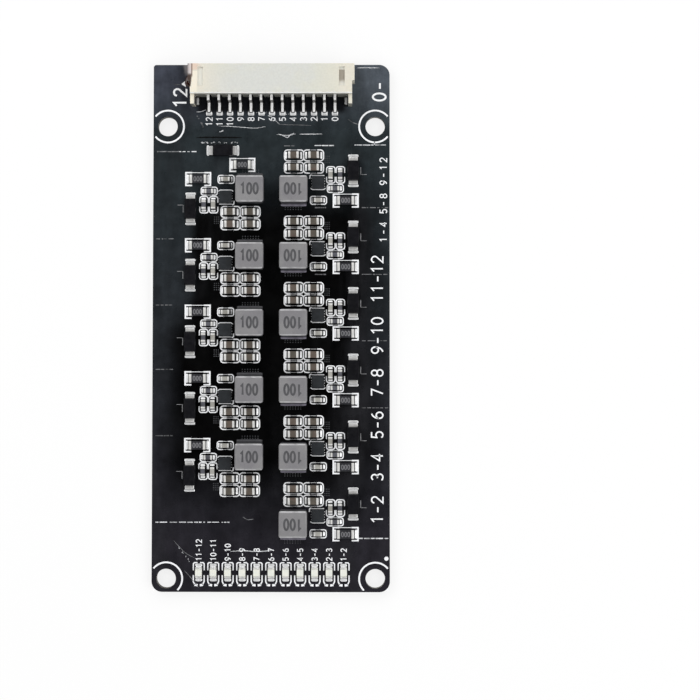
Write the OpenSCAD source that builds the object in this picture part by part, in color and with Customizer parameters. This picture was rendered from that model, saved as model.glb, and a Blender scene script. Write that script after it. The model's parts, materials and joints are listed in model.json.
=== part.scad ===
// Twelve-cell battery balancing board.
// One bare board carries eleven identical balancing channels in two columns, a row of
// indicator LEDs along one short edge and a 13-way side-entry header at the other.
// Frame: origin at the middle of the board's underside, X across the board,
// Y along it towards the header's mouth, Z up through the parts. Millimetres.

/* [Board] */
// Width of the board, along X
board_w = 45; // [45:0.5:60]
// Length of the board, along Y
board_l = 100; // [100:0.5:120]
// Thickness of the board
board_t = 1.6; // [0.8:0.1:2.4]
// Radius of the three rounded corners
corner_r = 2; // [0.6:0.1:2.5]
// Diameter of the four mounting holes
hole_d = 3.7; // [3:0.1:4]
// Distance between hole centres, along X
hole_dx = 39.5; // [38:0.5:40]
// Distance between hole centres, along Y
hole_dy = 85.7; // [84:0.1:86]
// Middle of the hole pattern, along Y
hole_mid_y = -4.65; // [-5:0.05:-4]

/* [Channels] */
// Distance between the channels of one column
channel_pitch = 12.63; // [12.4:0.01:12.7]
// Height on the board of the right column's first inductor
right_y = 26.2; // [26:0.1:26.5]
// Height on the board of the left column's first inductor
left_y = 26; // [26:0.1:26.3]

/* [Power inductors] */
// Width of the moulded body, across its terminals
inductor_w = 5.3; // [4:0.1:5.4]
// Length of the moulded body, from terminal to terminal
inductor_l = 5; // [4:0.1:5.2]
// Height of the moulded body
inductor_h = 2.7; // [1.5:0.1:3]

/* [Header] */
// Number of contacts
ways = 13; // [2:1:13]
// Distance between contacts
pitch = 2; // [1.5:0.25:2]
// Height of the housing above the board
header_h = 4.9; // [4.5:0.1:6]
// Thickness of the shroud's walls
shroud_t = 0.75; // [0.6:0.05:0.9]
// Square section of a contact
contact_t = 0.5; // [0.4:0.05:0.6]

/* [Indicator LEDs] */
// Distance between LEDs
led_pitch = 2.735; // [2.7:0.005:3]

/* [Hidden] */
$fn = 48;
eps = 0.01;
top = board_t;
pad_t = 0.06;           // copper and solder that lifts each part off the board
seat = top + pad_t;     // level on which every part's terminals stand
layout_x = 0.1;         // the parts' centreline lies just off the board's
channels = 11;
right_channels = 6;
square_corner_r = 0.5;  // the corner beside the first pin stays almost square

// ---- Places ----------------------------------------------------------------

// Channels 1 to 6 run down the right column, 7 to 11 down the left one.
function is_right(i) = i <= right_channels;
function channel_y(i) = is_right(i)
    ? right_y - (i - 1) * channel_pitch
    : left_y - (i - 1 - right_channels) * channel_pitch;

// A left channel is a right channel turned half round.
module in_channel(i, z = seat) {
    translate([layout_x, channel_y(i), z]) rotate(is_right(i) ? 0 : 180) children();
}

module in_channels(z = seat) {
    for (i = [1:channels]) in_channel(i, z) children();
}

module on_board(z = seat) {
    translate([layout_x, 0, z]) children();
}

module at(places) {
    for (p = places) translate([p[0], p[1], 0]) rotate(p[2]) children();
}

// Places in a right channel, measured from its inductor: [x, y, turn].
inductor_at = [[4.15, -0.1, 90]];
chip_at = [[8.8, 1.3, 0]];
diode_at = [[15.48, 3.53, 90]];
link_at = [[14.05, -2.15, 0]];
bulk_at = [for (x = [4.12, 7.95], y = [4.12, 6.47]) [x, y, 0]];
small_capacitor_at = [[8.8, -2.1, 0], [11.15, 2.75, 90]];
small_resistor_at = [[12.98, 2.75, 90], [12, 0.16, 0]];

// Places outside the channels, measured from the board's middle.
supply_diode_at = [[-9.35, 33.6, 0]];
supply_link_at = [[-5.65, 30.85, 0]];
led_at = [for (i = [1:channels]) [(i - (channels + 1) / 2) * led_pitch, -46.35, 90]];

// ---- Circuit board ---------------------------------------------------------

module board_outline() {
    // Corners in turn: [side in X, side in Y, radius].
    corners = [[1, 1, corner_r], [1, -1, corner_r], [-1, -1, corner_r],
               [-1, 1, square_corner_r]];
    difference() {
        square([board_w, board_l], center = true);
        for (c = corners) translate([c[0] * board_w / 2, c[1] * board_l / 2])
            scale([c[0], c[1]]) difference() {
                translate([-c[2], -c[2]]) square(c[2] + 1);
                translate([-c[2], -c[2]]) circle(c[2]);
            }
    }
}

module circuit_board() {
    color([0.1, 0.11, 0.12]) difference() {
        linear_extrude(board_t) board_outline();
        for (x = [-1, 1], y = [-1, 1])
            translate([x * hole_dx / 2, hole_mid_y + y * hole_dy / 2, -1])
                cylinder(d = hole_d, h = board_t + 2);
    }
}

// ---- Power inductors -------------------------------------------------------
// Each lies with its terminals at its two ends, along X.

inductor_corner = 0.45;
inductor_bevel = 0.28;
inductor_foot = 1.3;        // length of a terminal under the body
inductor_lap = 1.05;        // height of a terminal up the end face
inductor_strip = [0.15, 4.4]; // thickness and width of a terminal

// An upright bevelled outline, width by height, with its lower corners square.
module bevelled(width, height, bevel) {
    polygon([[-width / 2, 0], [width / 2, 0], [width / 2, height - bevel],
             [width / 2 - bevel, height], [bevel - width / 2, height],
             [-width / 2, height - bevel]]);
}

module rounded_plan(length, width, r) {
    square([length - 2 * r, width], center = true);
    square([length, width - 2 * r], center = true);
    for (x = [-1, 1], y = [-1, 1])
        translate([x * (length / 2 - r), y * (width / 2 - r)]) circle(r);
}

module inductor_body() {
    difference() {
        translate([0, 0, inductor_strip[0]]) intersection() {
            linear_extrude(inductor_h) rounded_plan(inductor_l, inductor_w, inductor_corner);
            rotate([90, 0, 0]) linear_extrude(inductor_w + 1, center = true)
                bevelled(inductor_l, inductor_h, inductor_bevel);
            rotate([90, 0, 90]) linear_extrude(inductor_l + 1, center = true)
                bevelled(inductor_w, inductor_h, inductor_bevel);
        }
        terminal_strips();
    }
}

// Flat strips that run under the body and turn up its end faces, half sunk in them.
module terminal_strips() {
    t = inductor_strip[0];
    reach = inductor_l / 2 + t / 2;
    for (s = [-1, 1]) scale([s, 1, 1])
        rotate([90, 0, 0]) linear_extrude(inductor_strip[1], center = true)
            polygon([[reach - inductor_foot, 0], [reach, 0], [reach, inductor_lap],
                     [reach - t, inductor_lap], [reach - t, t], [reach - inductor_foot, t]]);
}

module inductor(i) {
    color([0.6, 0.6, 0.6]) in_channel(i) at(inductor_at) inductor_body();
}

module inductor_terminals() {
    color("silver") in_channels() at(inductor_at) terminal_strips();
}

// ---- Balancer chips --------------------------------------------------------
// Leadless packages with four leads along each of two sides.

chip_size = [2.4, 2.3, 0.8];
chip_lead = [0.4, 0.26, 0.2];
chip_lead_pitch = 0.5;
chip_paddle = [0.9, 1.5, 0.2];

module chip_metal() {
    for (x = [-1, 1], y = [-1.5:1.5])
        translate([x * (chip_size[0] - chip_lead[0]) / 2, y * chip_lead_pitch, chip_lead[2] / 2])
            cube(chip_lead, center = true);
    translate([0, 0, chip_paddle[2] / 2]) cube(chip_paddle, center = true);
}

module balancer_chip(i) {
    color([0.16, 0.17, 0.18]) in_channel(i) at(chip_at) difference() {
        translate([0, 0, chip_size[2] / 2]) cube(chip_size, center = true);
        chip_metal();
        translate([0.7 - chip_size[0] / 2, chip_size[1] / 2 - 0.4, chip_size[2] - 0.05])
            cylinder(d = 0.4, h = 1);
    }
}

module chip_leads() {
    color("silver") in_channels() at(chip_at) chip_metal();
}

// ---- Diodes ----------------------------------------------------------------
// Moulded bodies with drafted sides; a flat lead leaves each end at the bottom.

diode_size = [3.9, 2.3, 1.1];
diode_waist = 0.35;         // level of the mould's parting line
diode_draft = 0.14;
diode_lead = [0.2, 1.6];    // thickness and width of a lead
diode_reach = 2.55;         // end of a lead from the middle

module drafted(width, height, waist, draft) {
    polygon([[draft / 2 - width / 2, 0], [width / 2 - draft / 2, 0], [width / 2, waist],
             [width / 2 - draft, height], [draft - width / 2, height], [-width / 2, waist]]);
}

module diode_body() {
    difference() {
        intersection() {
            rotate([90, 0, 0]) linear_extrude(diode_size[1], center = true)
                drafted(diode_size[0], diode_size[2], diode_waist, diode_draft);
            rotate([90, 0, 90]) linear_extrude(diode_size[0], center = true)
                drafted(diode_size[1], diode_size[2], diode_waist, diode_draft);
        }
        diode_strips();
    }
}

module diode_strips() {
    inside = 1.4;
    for (s = [-1, 1]) scale([s, 1, 1])
        translate([inside, -diode_lead[1] / 2, 0])
            cube([diode_reach - inside, diode_lead[1], diode_lead[0]]);
}

module protection_diode(i) {
    color([0.1, 0.1, 0.11]) in_channel(i) at(diode_at) diode_body();
}

module supply_diode() {
    color([0.1, 0.1, 0.11]) on_board() at(supply_diode_at) diode_body();
}

module diode_leads() {
    color("silver") {
        in_channels() at(diode_at) diode_strips();
        on_board() at(supply_diode_at) diode_strips();
    }
}

// ---- Chip capacitors and resistors -----------------------------------------
// Each lies along X about its own middle. A size is [length, width, height].

bulk_size = [2, 1.25, 1.25];
bulk_cap = 0.45;
small_size = [1.6, 0.8, 0.8];
resistor_size = [1.6, 0.8, 0.45];
small_cap = 0.35;
link_size = [3.2, 1.6, 0.55];
link_cap = 0.5;
film = 0.04;                // thickness of an end cap's walls

// Metal caps that wrap a body's ends: over and under, and also round the sides.
module wrapped_caps(size, cap) {
    for (s = [-1, 1]) scale([s, 1, 1]) difference() {
        translate([size[0] / 2 - cap, -size[1] / 2, 0]) cube([cap, size[1], size[2]]);
        translate([size[0] / 2 - cap - eps, film - size[1] / 2, film])
            cube([cap + eps - film, size[1] - 2 * film, size[2] - 2 * film]);
    }
}

// Metal caps that fold over and under a flat body and leave its sides bare.
module folded_caps(size, cap) {
    end = size[0] / 2;
    for (s = [-1, 1]) scale([s, 1, 1])
        rotate([90, 0, 0]) linear_extrude(size[1], center = true)
            polygon([[end - cap, 0], [end, 0], [end, size[2]], [end - cap, size[2]],
                     [end - cap, size[2] - film], [end - film, size[2] - film],
                     [end - film, film], [end - cap, film]]);
}

module block(size) {
    translate([0, 0, size[2] / 2]) cube(size, center = true);
}

module bulk_capacitors() {
    color([0.55, 0.45, 0.4]) in_channels() at(bulk_at) difference() {
        block(bulk_size);
        wrapped_caps(bulk_size, bulk_cap);
    }
}

module bulk_capacitor_ends() {
    color("silver") in_channels() at(bulk_at) wrapped_caps(bulk_size, bulk_cap);
}

module small_capacitors() {
    color([0.62, 0.56, 0.48]) in_channels() at(small_capacitor_at) difference() {
        block(small_size);
        wrapped_caps(small_size, small_cap);
    }
}

module small_capacitor_ends() {
    color("silver") in_channels() at(small_capacitor_at) wrapped_caps(small_size, small_cap);
}

module small_resistors() {
    color([0.15, 0.15, 0.16]) in_channels() at(small_resistor_at) difference() {
        block(resistor_size);
        folded_caps(resistor_size, small_cap);
    }
}

module small_resistor_ends() {
    color("silver") in_channels() at(small_resistor_at) folded_caps(resistor_size, small_cap);
}

// The zero-ohm links, one a channel and one at the supply.
module at_links() {
    in_channels() at(link_at) children();
    on_board() at(supply_link_at) children();
}

module link_resistors() {
    color([0.12, 0.12, 0.13]) at_links() difference() {
        block(link_size);
        folded_caps(link_size, link_cap);
    }
}

module link_resistor_ends() {
    color("silver") at_links() folded_caps(link_size, link_cap);
}

// ---- Indicator LEDs --------------------------------------------------------

led_base = [2, 1.25, 0.35];
led_lens = [1.3, 1.25, 0.5];
led_notch_r = 0.22;

module led_metal() {
    difference() {
        folded_caps(led_base, 0.3);
        led_notches();
    }
}

// Half-round notches in the two ends of the base.
module led_notches() {
    for (s = [-1, 1]) translate([s * led_base[0] / 2, 0, -1]) cylinder(r = led_notch_r, h = 2);
}

module indicator_leds() {
    color([0.9, 0.9, 0.86]) on_board() at(led_at) {
        difference() {
            block(led_base);
            folded_caps(led_base, 0.3);
            led_notches();
        }
        translate([0, 0, led_base[2]]) rotate([90, 0, 0])
            linear_extrude(led_lens[1], center = true)
                bevelled(led_lens[0], led_lens[2], 0.15);
    }
}

module led_terminals() {
    color("silver") on_board() at(led_at) led_metal();
}

// ---- Header ----------------------------------------------------------------
// Built about its own middle in X, on the board's Y; its mouth faces +Y.

mouth_y = 49.5;             // front edge of the shroud
back_y = 43.85;             // outer face of the rear wall
cavity_back_y = 45.3;       // inner face of the rear wall
flange_y = 46.3;            // where the wider front part starts
arm_y = 42;                 // ends of the two side arms
arm_h = 4.2;
arm_t = 0.7;
row_w = (ways - 1) * pitch;
shell_w = row_w + 6.5;
flange_w = shell_w + 0.9;
cavity_w = row_w + 4;
contact_z = 2.35;           // pin axis above the board
tip_y = 48.6;               // end of a pin
foot_y = 40.9;              // end of a contact's foot
leg_y = 42.95;              // middle of a contact's upright leg
bend_r = 0.15;              // inside radius of its two bends

// Places across the row of contacts.
module in_row() {
    for (i = [0:ways - 1]) translate([i * pitch - row_w / 2, 0, 0]) children();
}

module both_ends() {
    for (s = [-1, 1]) scale([s, 1, 1]) children();
}

// An outline in Y and Z, made solid for the given width about the middle.
module across(width) {
    rotate([90, 0, 90]) linear_extrude(width, center = true) children();
}

function arc(y, z, r, from, to) =
    [for (i = [0:6]) let (a = from + (to - from) * i / 6) [y + r * cos(a), z + r * sin(a)]];

// One contact: pin, bend, upright leg, bend and foot, as a flat outline in Y and Z.
module contact_outline() {
    t = contact_t;
    outer = bend_r + t;
    high_y = leg_y + t / 2 + bend_r;
    low_y = leg_y - t / 2 - bend_r;
    high_z = contact_z - t / 2 - bend_r;
    low_z = pad_t + t + bend_r;
    tip = 0.35;
    polygon(concat(
        [[tip_y - tip, contact_z + t / 2]],
        arc(high_y, high_z, outer, 90, 180),
        arc(low_y, low_z, bend_r, 0, -90),
        [[foot_y, pad_t + t], [foot_y, pad_t]],
        arc(low_y, low_z, outer, -90, 0),
        arc(high_y, high_z, bend_r, 180, 90),
        [[tip_y - tip, contact_z - t / 2], [tip_y, contact_z - t / 5],
         [tip_y, contact_z + t / 5]]));
}

module shell() {
    edge = 0.25;
    across(shell_w) polygon([[mouth_y, 0], [mouth_y, header_h], [back_y + edge, header_h],
                             [back_y, header_h - edge], [back_y, 0]]);
    across(flange_w) translate([flange_y, 0]) square([mouth_y - flange_y, header_h]);
    both_ends() translate([shell_w / 2 - arm_t, arm_y, 0])
        cube([arm_t, back_y - arm_y + eps, arm_h]);
}

module header_housing() {
    lip_y = 48.9;           // front of the two latch recesses
    recess = [1.05, 3.6, 0.4];
    notch = [1, 0.4, 3.3];  // relief in the rear wall round each contact
    color([0.9, 0.89, 0.84]) translate([layout_x, 0, top]) difference() {
        shell();
        across(cavity_w) translate([cavity_back_y, shroud_t])
            square([mouth_y - cavity_back_y + 1, header_h - 2 * shroud_t]);
        // chamfered lead-in round the mouth
        across(cavity_w) polygon([
            [mouth_y - 0.4, header_h / 2], [mouth_y - 0.4, header_h - shroud_t],
            [mouth_y, header_h - shroud_t + 0.3], [mouth_y + 1, header_h / 2],
            [mouth_y, shroud_t - 0.3], [mouth_y - 0.4, shroud_t]]);
        both_ends() translate([row_w / 2 + 0.8, lip_y - recess[1], header_h - recess[2]])
            cube([recess[0], recess[1], 1]);
        in_row() translate([-notch[0] / 2, back_y - 1, -1])
            cube([notch[0], notch[1] + 1, notch[2] + 1]);
        in_row() translate([-contact_t / 2, back_y - 1, contact_z - contact_t / 2])
            cube([contact_t, cavity_back_y - back_y + 2, contact_t]);
        tab_slots();
    }
}

module header_contacts() {
    color("silver") translate([layout_x, 0, top]) in_row() across(contact_t) contact_outline();
}

// Folded tabs: an upright blade pressed into each arm and a foot on the board.
tab_t = 0.25;
tab_y = [42.2, 43.75];   // within the arms, clear of the rear wall
tab_h = 3;
tab_foot = 0.75;

module tab_slots() {
    both_ends() translate([shell_w / 2 - arm_t - eps, tab_y[0], -eps])
        cube([tab_t + eps, tab_y[1] - tab_y[0], tab_h + eps]);
}

module header_solder_tabs() {
    inner = shell_w / 2 - arm_t;
    color("silver") translate([layout_x, 0, top]) both_ends()
        translate([0, tab_y[1], 0]) rotate([90, 0, 0]) linear_extrude(tab_y[1] - tab_y[0])
            polygon([[inner + tab_t, pad_t], [inner + tab_t, tab_h], [inner, tab_h],
                     [inner, pad_t + tab_t], [inner - tab_foot, pad_t + tab_t],
                     [inner - tab_foot, pad_t]]);
}

// ---- Solder pads -----------------------------------------------------------

// A pair of pads, their middles at +-reach; a pad is [along X, across].
module pad_pair(reach, pad) {
    for (s = [-1, 1]) translate([s * reach, 0, pad_t / 2])
        cube([pad[0], pad[1], pad_t], center = true);
}

// The pad on the side away from the bulk capacitors reaches out further.
module inductor_pads() {
    for (ends = [[1.25, 2.65], [-3.15, -1.25]]) translate([ends[0], -2.45, 0])
        cube([ends[1] - ends[0], 4.9, pad_t]);
}

module solder_pads() {
    color([0.8, 0.8, 0.78]) {
        in_channels(top) {
            at(inductor_at) inductor_pads();
            at(chip_at) for (y = [-1.5:1.5]) translate([0, y * chip_lead_pitch, 0])
                pad_pair(1, [0.6, 0.26]);
            at(diode_at) pad_pair(2.45, [1.35, 2]);
            at(bulk_at) pad_pair(1.22, [0.84, 1.45]);
            at(small_capacitor_at) pad_pair(0.9, [0.85, 1]);
            at(small_resistor_at) pad_pair(0.9, [0.85, 1]);
            at(link_at) pad_pair(1.6, [1.2, 1.75]);
        }
        on_board(top) {
            at(supply_diode_at) pad_pair(2.45, [1.35, 2]);
            at(supply_link_at) pad_pair(1.6, [1.2, 1.75]);
            at(led_at) pad_pair(1.15, [1, 1.3]);
            in_row() translate([-0.6, 40.3, 0]) cube([1.2, 2.5, pad_t]);
            both_ends() translate([shell_w / 2 - arm_t - 0.9, 42, 0])
                cube([0.9, 1.8, pad_t]);
        }
    }
}

// ---- The parts by name -----------------------------------------------------

circuit_board();
solder_pads();
header_housing();
header_contacts();
header_solder_tabs();
for (i = [1:channels]) {
    inductor(i);
    balancer_chip(i);
    protection_diode(i);
}
supply_diode();
inductor_terminals();
chip_leads();
diode_leads();
bulk_capacitors();
bulk_capacitor_ends();
small_capacitors();
small_capacitor_ends();
small_resistors();
small_resistor_ends();
link_resistors();
link_resistor_ends();
indicator_leds();
led_terminals();
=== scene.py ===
"""Visual model of a twelve-cell battery balancing board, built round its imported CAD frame.

Everything is in metres in the frame's own axes: X across the board, Y along it towards
the header's mouth, Z up. MM turns the board's millimetres into metres.
"""
import json
import math
import random

import bmesh
import bpy
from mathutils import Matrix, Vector


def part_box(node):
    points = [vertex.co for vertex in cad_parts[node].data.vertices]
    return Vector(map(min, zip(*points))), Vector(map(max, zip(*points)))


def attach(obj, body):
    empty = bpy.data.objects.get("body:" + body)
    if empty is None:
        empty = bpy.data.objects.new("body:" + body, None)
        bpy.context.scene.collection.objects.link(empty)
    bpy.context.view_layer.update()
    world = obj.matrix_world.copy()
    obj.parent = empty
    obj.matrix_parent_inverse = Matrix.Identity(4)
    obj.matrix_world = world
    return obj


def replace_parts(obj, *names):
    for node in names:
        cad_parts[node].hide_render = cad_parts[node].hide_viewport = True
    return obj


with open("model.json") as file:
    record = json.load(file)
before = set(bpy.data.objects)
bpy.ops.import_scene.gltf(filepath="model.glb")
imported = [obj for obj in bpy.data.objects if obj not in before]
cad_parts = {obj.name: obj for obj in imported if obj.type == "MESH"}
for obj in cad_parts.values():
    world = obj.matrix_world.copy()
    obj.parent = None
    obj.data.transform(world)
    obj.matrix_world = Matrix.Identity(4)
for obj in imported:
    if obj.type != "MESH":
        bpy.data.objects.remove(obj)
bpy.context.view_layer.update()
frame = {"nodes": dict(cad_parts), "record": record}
MM = 0.001
CHANNELS = 11
NODES = frame["nodes"]
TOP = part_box("circuit_board")[1].z          # the board's upper face
SCENE = bpy.context.scene


# ---- Small helpers ---------------------------------------------------------

def islands(node):
    """Boxes (low, high) of a CAD node's separate solids, from left to right."""
    bm = bmesh.new()
    bm.from_mesh(NODES[node].data)
    bmesh.ops.remove_doubles(bm, verts=bm.verts, dist=1e-6)
    bm.verts.ensure_lookup_table()
    seen = set()
    boxes = []
    for start in bm.verts:
        if start.index in seen:
            continue
        seen.add(start.index)
        stack = [start]
        group = []
        while stack:
            v = stack.pop()
            group.append(v.co.copy())
            for e in v.link_edges:
                w = e.other_vert(v)
                if w.index not in seen:
                    seen.add(w.index)
                    stack.append(w)
        low = Vector([min(p[i] for p in group) for i in range(3)])
        high = Vector([max(p[i] for p in group) for i in range(3)])
        boxes.append((low, high))
    bm.free()
    return sorted(boxes, key=lambda b: (round(b[0].x, 6), round(b[0].y, 6)))


def middle(box):
    return (box[0] + box[1]) / 2


def finish_mesh(name, mesh, material, smooth_angle=35):
    """Links a mesh as a piece that rides on the board, with edges sharper than the angle kept."""
    obj = bpy.data.objects.new(name, mesh)
    SCENE.collection.objects.link(obj)
    mesh.polygons.foreach_set("use_smooth", [True] * len(mesh.polygons))
    mesh.set_sharp_from_angle(angle=math.radians(smooth_angle))
    mesh.materials.clear()
    mesh.materials.append(material)
    level = obj.modifiers.new("level_faces", "WEIGHTED_NORMAL")
    level.keep_sharp = True
    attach(obj, "root")
    return obj


def softened(node, width, material, name, angle=30, segments=2):
    """A copy of a CAD node with its edges rounded, which stands for that node."""
    bm = bmesh.new()
    bm.from_mesh(NODES[node].data)
    bmesh.ops.remove_doubles(bm, verts=bm.verts, dist=1e-6)
    bmesh.ops.dissolve_limit(bm, angle_limit=math.radians(1), verts=bm.verts, edges=bm.edges)
    edges = [e for e in bm.edges
             if len(e.link_faces) == 2 and e.calc_face_angle(0) > math.radians(angle)]
    bmesh.ops.bevel(bm, geom=edges, offset=width, offset_type="OFFSET", segments=segments,
                    profile=0.5, affect="EDGES", clamp_overlap=True)
    mesh = bpy.data.meshes.new(name)
    bm.to_mesh(mesh)
    bm.free()
    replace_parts(finish_mesh(name, mesh, material, 40), node)


class Builder:
    """Gathers vertices and faces of many small closed forms into one mesh."""

    def __init__(self):
        self.verts = []
        self.faces = []

    def add(self, verts, faces):
        base = len(self.verts)
        self.verts.extend(verts)
        self.faces.extend([tuple(base + i for i in f) for f in faces])

    def mesh(self, name):
        mesh = bpy.data.meshes.new(name)
        mesh.from_pydata([tuple(v) for v in self.verts], [], self.faces)
        mesh.validate()
        mesh.update()
        return mesh

    def strip(self, points, width, z, rise, closed=False):
        """A flat ribbon along points (x, y), as a closed form rise high from z."""
        n = len(points)
        pts = [Vector(p) for p in points]
        verts = []
        for i, p in enumerate(pts):
            before = pts[i - 1] if (i or closed) else p - (pts[1] - p)
            after = pts[(i + 1) % n] if (i < n - 1 or closed) else p + (p - pts[i - 1])
            a = (p - before).normalized()
            b = (after - p).normalized()
            mid = (a + b)
            mid = mid.normalized() if mid.length > 1e-6 else a
            side = Vector((-mid.y, mid.x))
            reach = width / 2 / max(0.5, side.dot(Vector((-a.y, a.x))))
            left = p + side * reach
            right = p - side * reach
            for q, h in ((left, z), (left, z + rise), (right, z + rise), (right, z)):
                verts.append((q.x, q.y, h))
        faces = []
        for i in range(n if closed else n - 1):
            a = 4 * i
            b = 4 * ((i + 1) % n)
            for k in range(4):
                m = (k + 1) % 4
                faces.append((a + k, a + m, b + m, b + k))
        if not closed:
            faces.append((3, 2, 1, 0))
            e = 4 * (n - 1)
            faces.append((e, e + 1, e + 2, e + 3))
        self.add(verts, faces)

    def prism(self, points, z, rise):
        """An upright prism over an anticlockwise outline."""
        n = len(points)
        verts = [(x, y, z) for x, y in points] + [(x, y, z + rise) for x, y in points]
        faces = [tuple(range(n - 1, -1, -1)), tuple(range(n, 2 * n))]
        faces += [(k, (k + 1) % n, n + (k + 1) % n, n + k) for k in range(n)]
        self.add(verts, faces)

    def disc(self, x, y, radius, z, rise, sides=16):
        """A low disc with a slightly domed top."""
        verts = []
        for r, h in ((radius, z), (radius, z + rise * 0.6), (radius * 0.7, z + rise)):
            for k in range(sides):
                a = 2 * math.pi * k / sides
                verts.append((x + r * math.cos(a), y + r * math.sin(a), h))
        faces = [tuple(range(sides - 1, -1, -1)), tuple(range(2 * sides, 3 * sides))]
        for ring in (0, 1):
            for k in range(sides):
                m = (k + 1) % sides
                a, b = ring * sides, (ring + 1) * sides
                faces.append((a + k, a + m, b + m, b + k))
        self.add(verts, faces)

    def block(self, low, high, radius):
        """A box with all its edges rounded."""
        size = high - low
        key = (round(size.x, 7), round(size.y, 7), round(size.z, 7), radius)
        if key not in BLOCKS:
            bm = bmesh.new()
            bmesh.ops.create_cube(bm, size=1)
            for v in bm.verts:
                v.co = Vector((v.co.x * size.x, v.co.y * size.y, v.co.z * size.z))
            bmesh.ops.bevel(bm, geom=list(bm.edges), offset=radius, offset_type="OFFSET",
                            segments=2, profile=0.5, affect="EDGES", clamp_overlap=True)
            bm.verts.ensure_lookup_table()
            BLOCKS[key] = ([v.co.copy() for v in bm.verts],
                           [tuple(v.index for v in f.verts) for f in bm.faces])
            bm.free()
        verts, faces = BLOCKS[key]
        at = (low + high) / 2
        self.add([v + at for v in verts], faces)


BLOCKS = {}


def arc(cx, cy, rx, ry, start, end, steps=8):
    """Points on an ellipse's arc, angles in degrees."""
    out = []
    for i in range(steps + 1):
        a = math.radians(start + (end - start) * i / steps)
        out.append((cx + rx * math.cos(a), cy + ry * math.sin(a)))
    return out


def rounded_rect(cx, cy, w, h, r, steps=5):
    """A closed rounded outline, anticlockwise."""
    out = []
    for sx, sy, a in ((1, 1, 0), (-1, 1, 90), (-1, -1, 180), (1, -1, 270)):
        out += arc(cx + sx * (w / 2 - r), cy + sy * (h / 2 - r), r, r, a, a + 90, steps)
    return out


# ---- Materials -------------------------------------------------------------

class Nodes:
    """A material's node tree with short calls."""

    def __init__(self, name):
        self.mat = bpy.data.materials.new(name)
        self.mat.use_nodes = True
        self.tree = self.mat.node_tree
        self.bsdf = self.tree.nodes["Principled BSDF"]
        self.coords = self.tree.nodes.new("ShaderNodeTexCoord").outputs["Object"]

    def new(self, kind, **inputs):
        node = self.tree.nodes.new(kind)
        for key, value in inputs.items():
            self.put(node.inputs[key.replace("_", " ")], value)
        return node

    def put(self, socket, value):
        if isinstance(value, bpy.types.NodeSocket):
            self.tree.links.new(value, socket)
        else:
            socket.default_value = value

    def set(self, name, value):
        self.put(self.bsdf.inputs[name], value)

    def noise(self, scale, detail=3, rough=0.5, coords=None):
        node = self.new("ShaderNodeTexNoise", Vector=coords or self.coords, Scale=scale,
                        Detail=detail, Roughness=rough)
        return node.outputs["Fac"]

    def math(self, operation, a, b=0.0, clamp=False):
        node = self.tree.nodes.new("ShaderNodeMath")
        node.operation = operation
        node.use_clamp = clamp
        self.put(node.inputs[0], a)
        self.put(node.inputs[1], b)
        return node.outputs[0]

    def times(self, a, b):
        return self.math("MULTIPLY", a, b)

    def size(self, value):
        """The value without its sign."""
        return self.math("ABSOLUTE", value)

    def span(self, value, low, high, out_low=0.0, out_high=1.0, smooth=True):
        node = self.tree.nodes.new("ShaderNodeMapRange")
        node.interpolation_type = "SMOOTHSTEP" if smooth else "LINEAR"
        for i, v in enumerate((value, low, high, out_low, out_high)):
            self.put(node.inputs[i], v)
        return node.outputs[0]

    def vary(self, scale, low, high, detail=3, rough=0.5, coords=None):
        """A value that wanders evenly between low and high with place."""
        return self.span(self.noise(scale, detail, rough, coords), 0.3, 0.7, low, high,
                         smooth=False)

    def wander(self, scale, detail, reach):
        """A length that goes either way with place, by up to half the reach."""
        return self.times(self.math("SUBTRACT", self.noise(scale, detail), 0.5), reach)

    def mix(self, fac, a, b, blend="MIX"):
        node = self.tree.nodes.new("ShaderNodeMix")
        node.data_type = "RGBA"
        node.blend_type = blend
        self.put(node.inputs[0], fac)
        self.put(node.inputs[6], a if isinstance(a, bpy.types.NodeSocket) else (*a, 1))
        self.put(node.inputs[7], b if isinstance(b, bpy.types.NodeSocket) else (*b, 1))
        return node.outputs[2]

    def tint(self, color, tone):
        """The colour times a tone."""
        shade = self.new("ShaderNodeCombineXYZ", X=tone, Y=tone, Z=tone).outputs[0]
        return self.mix(1.0, color, shade, "MULTIPLY")

    def bump(self, height, strength, distance):
        node = self.new("ShaderNodeBump", Strength=strength, Distance=distance, Height=height)
        self.put(self.bsdf.inputs["Normal"], node.outputs[0])

    def facing(self):
        """The X, Y and Z of the way that the surface faces."""
        geometry = self.tree.nodes.new("ShaderNodeNewGeometry")
        return self.new("ShaderNodeSeparateXYZ", Vector=geometry.outputs["Normal"]).outputs

    def axes(self):
        node = self.new("ShaderNodeSeparateXYZ", Vector=self.coords)
        return node.outputs[0], node.outputs[1], node.outputs[2]


def simple(name, color, roughness, metallic=0.0, spread=0.12, scale=900, bump=0.1,
           bump_scale=4000, bump_depth=0.00001, specular=0.5, steep=None, slope=(0.55, 0.93)):
    """A material whose tone, roughness and surface all vary softly with place.

    steep is its colour on steep faces: painted shade and dark reflection there.
    """
    m = Nodes(name)
    if steep:
        color = m.mix(m.span(m.facing()[2], *slope), steep, color)
    m.set("Base Color", m.tint(color, m.vary(scale, 1 - spread, 1 + spread)))
    m.set("Roughness", m.vary(scale * 2.3, roughness - 0.1, roughness + 0.1))
    m.set("Metallic", metallic)
    m.set("Specular IOR Level", specular)
    m.bump(m.noise(bump_scale, 4), bump, bump_depth)
    return m.mat


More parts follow.
